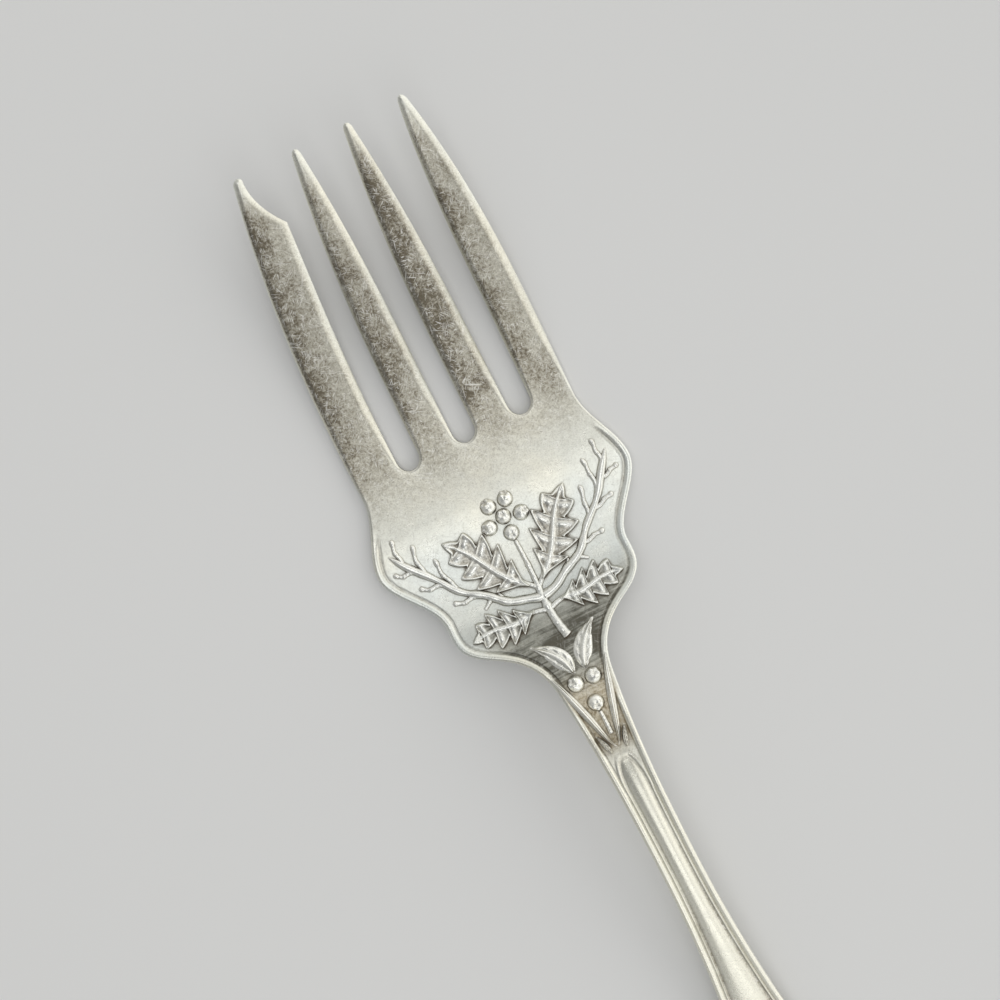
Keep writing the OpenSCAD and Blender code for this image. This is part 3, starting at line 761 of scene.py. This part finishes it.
# The berries: round fruits with a small withered crown, six in a cluster above the leaves and three on the
# neck. They are the highest of the struck work, so their tops are rubbed and the gaps between them are dark.
berry_r, neck_berry_r, berry_sunk, berry_root = 1.75, 1.8, 0.42, 0.9
ball_r, crown_points, crown_up, crown_lean = 0.97, 5, 1.2, 0.38
crown_at, crown_w, crown_h, pit_w, pit_d = 0.46, 0.28, 0.11, 0.36, 0.13
foot_wear, top_rub, rubbed_up, pit_wear = 0.7, 0.65, (0.0, 0.7), 0.25
cluster_c, neck_cluster = Vector((0, 0.8)), 0.9


def berry(shape, at, radius, lean):
    """Adds one berry, set in the face by a little under half of its ball; its crown leans that way."""
    axis = Vector((lean.x, lean.y, crown_up)).normalized()
    first = axis.orthogonal().normalized()
    second = axis.cross(first)
    wear, hollows = relief_layers(shape)
    made = bmesh.ops.create_uvsphere(shape, u_segments=44, v_segments=32, radius=1.0)["verts"]
    for v in made:
        polar = axis.angle(v.co)
        star = 0.5 + 0.5 * math.cos(crown_points * math.atan2(v.co.dot(second), v.co.dot(first)))
        pit = bump(polar / pit_w)
        r = radius * (ball_r + crown_h * star * bump((polar - crown_at) / crown_w) - pit_d * pit)
        up = max(v.co.z * r - berry_sunk * radius, -berry_root)
        v[wear] = foot_wear - top_rub * ramp(*rubbed_up, up) + pit_wear * pit
        v[hollows] = 1.0
        v.co = ((at.x + v.co.x * r) * MM, (at.y + v.co.y * r + root_y) * MM, (face(at.y) + up) * MM)


def cluster(name, foot, radius, places):
    """Raises a cluster of berries; their places are in berry radii from the lowest berry."""
    shape = bmesh.new()
    for place in places:
        berry(shape, foot + radius * place, radius, crown_lean * (place - cluster_c))
    finish_relief(name, shape)


palm_places = [Vector(p) for p in ((0, 0), (0, 1.9), (1.85, 1.45), (-1.85, 1.45), (0.98, 3.5), (-0.98, 3.5))]
cluster("palm_berries", spray(0, 0.767), berry_r, palm_places)
neck_places = [Vector(p) for p in ((0, 0), (0.97, 2.4), (-0.97, 2.4))]
cluster("neck_berries", Vector((0, -neck_at - neck_cluster * neck_berry_r)), neck_berry_r, neck_places)

# The neck's leaves: a slender leaf up each edge of the neck with a leaflet below it, two broad bracts above
# the berries and the stem below them, all struck with the blank. The ground between them was left brown when
# the high places were polished.
neck_leaf_from, neck_leaf_l, neck_leaf_w, neck_margin = -60.5, 17.0, 1.7, 0.3
neck_leaf_foot, neck_leaf_tip, neck_leaf_h = 0.3, 0.2, 0.62
neck_leaf_spread, neck_leaf_belly, neck_leaf_ends = 0.7, 0.9, (0.08, 0.78)
neck_rib_w, neck_rib_h, neck_furrow_at, neck_furrow_w, neck_furrow_d = 0.3, 0.14, 0.45, 0.25, 0.1
neck_stem, neck_stem_top = (0.5, 0.4), 1.7
leaflet = (Vector((1.45, -61.5)), Vector((1.9, -59.4)), Vector((2.75, -57.5)))
leaflet_half_w, leaflet_h = 0.55, 0.6
bract = (Vector((1.2, -46.0)), Vector((1.5, -41.8)), Vector((6.4, -38.6)))
bract_half_w, bract_h = 1.7, 0.55
blade_tip, blade_belly, blade_fall, blade_ends, blade_wear = 0.1, 0.8, 2.5, (0.1, 0.86), 0.3
blade_rib_w, blade_rib_h, blade_furrow_at, blade_furrow_w = 0.25, 0.3, 0.4, 0.25
blade_veins, blade_slant, blade_vein_h, blade_vein_at, blade_vein_w = 34, 7, 0.14, 0.55, 0.4
blade_rim_at, blade_rim_w = 0.8, 0.2


def blade(shape, mirror, ends, half_w, high):
    """Raises a pointed leaf along a bent line, with a midrib, side veins and thin edges."""

    def place(a, b):
        p, c, q = ends
        way = ((1 - b) * (c - p) + b * (q - c)).normalized()
        v = math.sin(math.pi / 2 * a)
        wide = blade_tip + (half_w - blade_tip) * math.sin(math.pi * b**blade_belly)
        at = bend(p, c, q, b) + v * wide * Vector((way.y, -way.x))
        rib = bump(v / blade_rib_w)
        furrow = bump((abs(v) - blade_furrow_at) / blade_furrow_w)
        side = bump((abs(v) - blade_vein_at) / blade_vein_w)
        rim = bump((abs(v) - blade_rim_at) / blade_rim_w)
        h = high * (1 - abs(v) ** blade_fall) + blade_rib_h * high * rib - blade_rib_h * high * furrow
        h += blade_vein_h * high * math.sin(blade_veins * b - blade_slant * abs(v)) * side
        h *= ramp(0.0, blade_ends[0], b) * ramp(1.0, blade_ends[1], b)
        return mirror * at.x, at.y, h, blade_wear - blade_wear * max(rib, rim)

    raise_on_face(shape, across=32, lengths=64, place=place)


def neck_leaf(name, mirror):
    """Raises a smooth leaf that follows the neck's edge; mirror is 1 on the right and -1 on the left."""

    def place(a, b):
        s = neck_leaf_from + neck_leaf_l * b
        outside = half(s) - neck_margin - neck_leaf_foot
        outside = neck_leaf_foot + outside * math.sin(math.pi / 2 * b**neck_leaf_spread)
        across = (neck_leaf_w - neck_leaf_tip) * math.sin(math.pi * min(1.0, b**neck_leaf_belly))
        inside = outside - neck_leaf_tip - across
        v = math.sin(math.pi / 2 * a)
        x = (inside + outside) / 2 + v * (outside - inside) / 2
        rib = bump(v / neck_rib_w)
        furrow = bump((abs(v) - neck_furrow_at) / neck_furrow_w)
        h = neck_leaf_h * (1 - v * v) + neck_rib_h * rib - neck_furrow_d * furrow
        h *= ramp(0.0, neck_leaf_ends[0], b) * ramp(1.0, neck_leaf_ends[1], b)
        return mirror * x, s, h, blade_wear - blade_wear * rib

    shape = bmesh.new()
    raise_on_face(shape, across=24, lengths=90, place=place)
    blade(shape, mirror, leaflet, leaflet_half_w, leaflet_h)
    finish_relief(name, shape)


for hand, side in hands:
    neck_leaf(f"neck_{hand}_leaf", side)
    shape = bmesh.new()
    blade(shape, side, bract, bract_half_w, bract_h)
    finish_relief(f"neck_{hand}_bract", shape)
shape = bmesh.new()
neck_stem_end = Vector((0, -neck_at - neck_stem_top * neck_berry_r))
neck_stem_ends = (Vector((0, -58)), Vector((0.1, -56)), neck_stem_end)
half_cord(shape, neck_stem_ends, *neck_stem, lengths=30, knots=(0.4,))
finish_relief("neck_stem", shape)

# The table top: a plain pale surface under the fork. It is the stage and no part of the fork, wide enough to
# fill every view, and a hair below the fork's two rests.
table_reach, table_drop = 12.0, 0.02 * MM
table_colour, table_rough = (0.76, 0.76, 0.75, 1.0), 0.7
table_top = bmesh.new()
bmesh.ops.create_grid(table_top, x_segments=1, y_segments=1, size=table_reach)
bmesh.ops.translate(table_top, verts=table_top.verts[:], vec=(0.0, 0.0, -table_drop))
pale = bpy.data.materials.new("pale_table")
pale.use_nodes = True
pale_shader = pale.node_tree.nodes["Principled BSDF"]
pale_shader.inputs["Base Color"].default_value = table_colour
pale_shader.inputs["Roughness"].default_value = table_rough
table_mesh = bpy.data.meshes.new("table_top")
table_top.to_mesh(table_mesh)
table_top.free()
table_mesh.materials.append(pale)
table = bpy.data.objects.new("table_top", table_mesh)
scene.collection.objects.link(table)

# The view: from straight above the palm, close in, turned so that the tines point to the upper left and the
# handle runs out of the picture at the lower right.
view_x, view_s, view_h = 8.82, -5.30, 280.37
view_turn = (-2.03, 0.81, -27.03)
lens = bpy.data.cameras.new("overhead")
lens.lens = 54.0
lens.sensor_width = 36.0
lens.clip_start = 0.01
camera = bpy.data.objects.new("overhead", lens)
camera.location = (view_x * MM, (root_y + view_s) * MM, view_h * MM)
camera.rotation_euler = [math.radians(turn) for turn in view_turn]
scene.collection.objects.link(camera)
scene.camera = camera


# The light: a light tent whose walls are brightest at the right, so that ridges and edges show their form.
# A soft lamp over the palm and one over the handle stand in its dim crown.
def soft_lamp(name, at, aim, wide, deep, radiance):
    """A lamp of that width and depth, in metres, aimed at a point; radiance 1 looks white."""
    data = bpy.data.lights.new(name, "AREA")
    data.shape = "RECTANGLE"
    data.size = wide
    data.size_y = deep
    data.energy = math.pi * wide * deep * radiance
    lamp = bpy.data.objects.new(name, data)
    lamp.location = at
    lamp.rotation_euler = (Vector(aim) - Vector(at)).to_track_quat("-Z", "Y").to_euler()
    scene.collection.objects.link(lamp)


palm_c, handle_c = (0.0, 0.036, 0.0), (0.0, -0.05, 0.0)
soft_lamp("palm_lamp", (0.0, 0.175, 0.60), palm_c, wide=0.46, deep=0.37, radiance=1.02)
soft_lamp("handle_lamp", (0.0, -0.31, 0.50), handle_c, wide=0.34, deep=0.42, radiance=0.84)
tent_dim, tent_bright = (0.30, 0.305, 0.31, 1.0), (1.40, 1.39, 1.36, 1.0)
tent_lean, tent_crown, tent_foot = 0.22, (0.48, 0.90), (-0.1, 0.12)
tent_fill, tent_side = 0.52, 0.40
room = bpy.data.worlds.new("room")
room.use_nodes = True
sky = Wire(room.node_tree)
way = sky.node("ShaderNodeTexCoord", output="Generated")
right = sky.node("ShaderNodeSeparateXYZ", {}, {"Vector": way}, output="X")
up = sky.node("ShaderNodeSeparateXYZ", {}, {"Vector": way}, output="Z")
crown = (up - tent_lean * right).step(*tent_crown)
wall = up.step(*tent_foot) * (1 - crown) * (tent_fill + tent_side * right)
tent = wall.blend(tent_dim, tent_bright)
room.node_tree.links.new(tent.socket, room.node_tree.nodes["Background"].inputs["Color"])
scene.world = room
